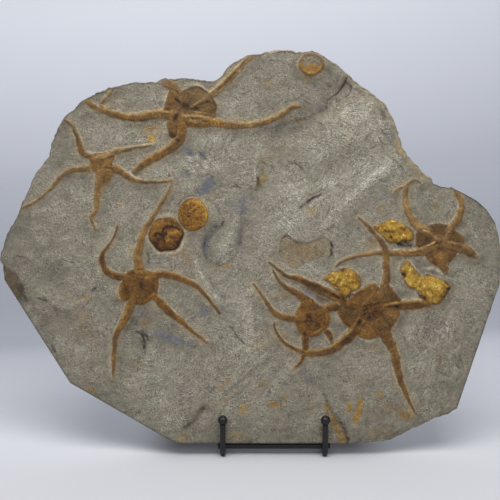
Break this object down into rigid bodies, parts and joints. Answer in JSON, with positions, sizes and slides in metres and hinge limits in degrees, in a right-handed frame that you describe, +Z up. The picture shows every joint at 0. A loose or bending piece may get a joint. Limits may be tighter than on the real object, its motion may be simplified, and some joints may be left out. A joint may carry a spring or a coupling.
{
  "type": "fossil starfish slab",
  "caption": "Slab of grey siltstone with fossil starfish in raised relief, sawn and broken edges, leaning on a black welded bar easel with ball-tipped front posts.",
  "frame": {"origin": "centre of the footprint, on the surface that the easel stands on", "axes": "+Z up, +X to the right seen from the front, +Y to the rear; the fossil face looks to -Y and leans back"},
  "size_m": [0.564, 0.181, 0.4486],
  "materials": {
    "siltstone": "rough",
    "black_steel": "satin"
  },
  "bodies": {
    "root": {"slab": "siltstone", "easel_left_rail": "black_steel", "easel_right_rail": "black_steel", "easel_left_ball": "black_steel", "easel_right_ball": "black_steel", "easel_left_upright": "black_steel", "easel_right_upright": "black_steel", "easel_left_rear_leg": "black_steel", "easel_right_rear_leg": "black_steel", "easel_seat_bar": "black_steel", "easel_middle_crossbar": "black_steel", "easel_upper_crossbar": "black_steel", "easel_rear_crossbar": "black_steel"}
  },
  "joints": []
}
